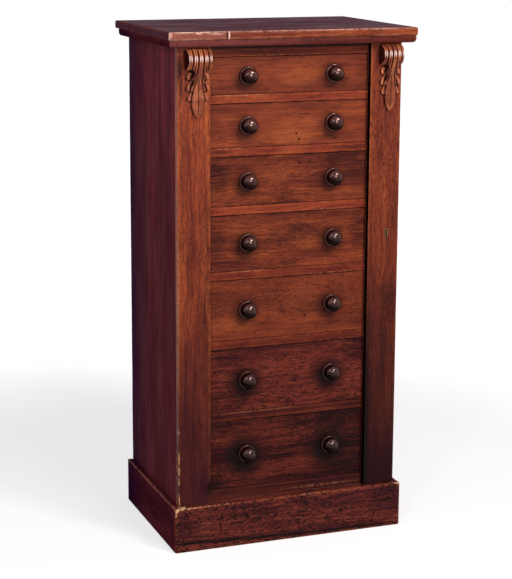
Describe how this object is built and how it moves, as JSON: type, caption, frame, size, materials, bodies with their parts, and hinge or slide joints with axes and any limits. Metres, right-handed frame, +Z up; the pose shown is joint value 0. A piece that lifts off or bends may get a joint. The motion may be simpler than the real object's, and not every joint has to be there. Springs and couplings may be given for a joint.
{
  "type": "wellington chest",
  "caption": "Tall narrow wooden chest of graduated drawers with turned knobs, carved corbels, a moulded top, a plinth and a hinged side flap that locks the drawers.",
  "frame": {"origin": "on the floor under the middle of the chest's bounding box", "axes": "+Z up, -Y out of the drawer fronts, +X towards the locking flap on the viewer's right"},
  "size_m": [0.622, 0.4512, 1.25],
  "materials": {
    "mahogany": "worn french polish",
    "dark_mahogany": "dark, worn french polish",
    "turned_wood": "gloss",
    "lining_wood": "bare",
    "brass": "dulled",
    "steel": "aged"
  },
  "bodies": {
    "carcass": {"top_board": "dark_mahogany", "cornice_front": "mahogany", "cornice_left": "mahogany", "cornice_right": "mahogany", "side_left": "dark_mahogany", "side_right": "dark_mahogany", "back_panel": "lining_wood", "base_board": "mahogany", "left_pilaster": "mahogany", "corbel_left": "mahogany", "plinth_front": "mahogany", "plinth_left": "dark_mahogany", "plinth_right": "dark_mahogany", "plinth_back": "lining_wood", "top_rail": "mahogany", "divider_1": "mahogany", "divider_2": "mahogany", "divider_3": "mahogany", "divider_4": "mahogany", "divider_5": "mahogany", "divider_6": "mahogany", "bottom_rail": "mahogany", "hinge_upper_carcass_leaf": "brass", "hinge_lower_carcass_leaf": "brass", "lock_keep": "brass"},
    "flap": {"locking_flap": "mahogany", "corbel_right": "mahogany", "hinge_upper_flap_leaf": "brass", "hinge_lower_flap_leaf": "brass", "escutcheon": "brass", "lock_case": "steel"},
    "bolt": {"lock_bolt": "steel"},
    "drawer_1": {"drawer_1_front": "mahogany", "drawer_1_box": "lining_wood", "drawer_1_knob_left": "turned_wood", "drawer_1_knob_right": "turned_wood"},
    "drawer_2": {"drawer_2_front": "mahogany", "drawer_2_box": "lining_wood", "drawer_2_knob_left": "turned_wood", "drawer_2_knob_right": "turned_wood"},
    "drawer_3": {"drawer_3_front": "mahogany", "drawer_3_box": "lining_wood", "drawer_3_knob_left": "turned_wood", "drawer_3_knob_right": "turned_wood"},
    "drawer_4": {"drawer_4_front": "mahogany", "drawer_4_box": "lining_wood", "drawer_4_knob_left": "turned_wood", "drawer_4_knob_right": "turned_wood"},
    "drawer_5": {"drawer_5_front": "mahogany", "drawer_5_box": "lining_wood", "drawer_5_knob_left": "turned_wood", "drawer_5_knob_right": "turned_wood"},
    "drawer_6": {"drawer_6_front": "mahogany", "drawer_6_box": "lining_wood", "drawer_6_knob_left": "turned_wood", "drawer_6_knob_right": "turned_wood"},
    "drawer_7": {"drawer_7_front": "mahogany", "drawer_7_box": "lining_wood", "drawer_7_knob_left": "turned_wood", "drawer_7_knob_right": "turned_wood"}
  },
  "joints": [
    {"name": "flap_hinge", "type": "hinge", "parent": "carcass", "child": "flap", "pos_m": [0.2861, -0.17535, 0.662], "axis": [0, 0, 1], "range_deg": [0, 165]},
    {"name": "lock_bolt_slide", "type": "slide", "parent": "flap", "child": "bolt", "axis": [0, 0, 1], "range_m": [0, 0.007]},
    {"name": "drawer_1_slide", "type": "slide", "parent": "carcass", "child": "drawer_1", "axis": [0, -1, 0], "range_m": [0, 0.27]},
    {"name": "drawer_2_slide", "type": "slide", "parent": "carcass", "child": "drawer_2", "axis": [0, -1, 0], "range_m": [0, 0.27]},
    {"name": "drawer_3_slide", "type": "slide", "parent": "carcass", "child": "drawer_3", "axis": [0, -1, 0], "range_m": [0, 0.27]},
    {"name": "drawer_4_slide", "type": "slide", "parent": "carcass", "child": "drawer_4", "axis": [0, -1, 0], "range_m": [0, 0.27]},
    {"name": "drawer_5_slide", "type": "slide", "parent": "carcass", "child": "drawer_5", "axis": [0, -1, 0], "range_m": [0, 0.27]},
    {"name": "drawer_6_slide", "type": "slide", "parent": "carcass", "child": "drawer_6", "axis": [0, -1, 0], "range_m": [0, 0.27]},
    {"name": "drawer_7_slide", "type": "slide", "parent": "carcass", "child": "drawer_7", "axis": [0, -1, 0], "range_m": [0, 0.27]}
  ]
}
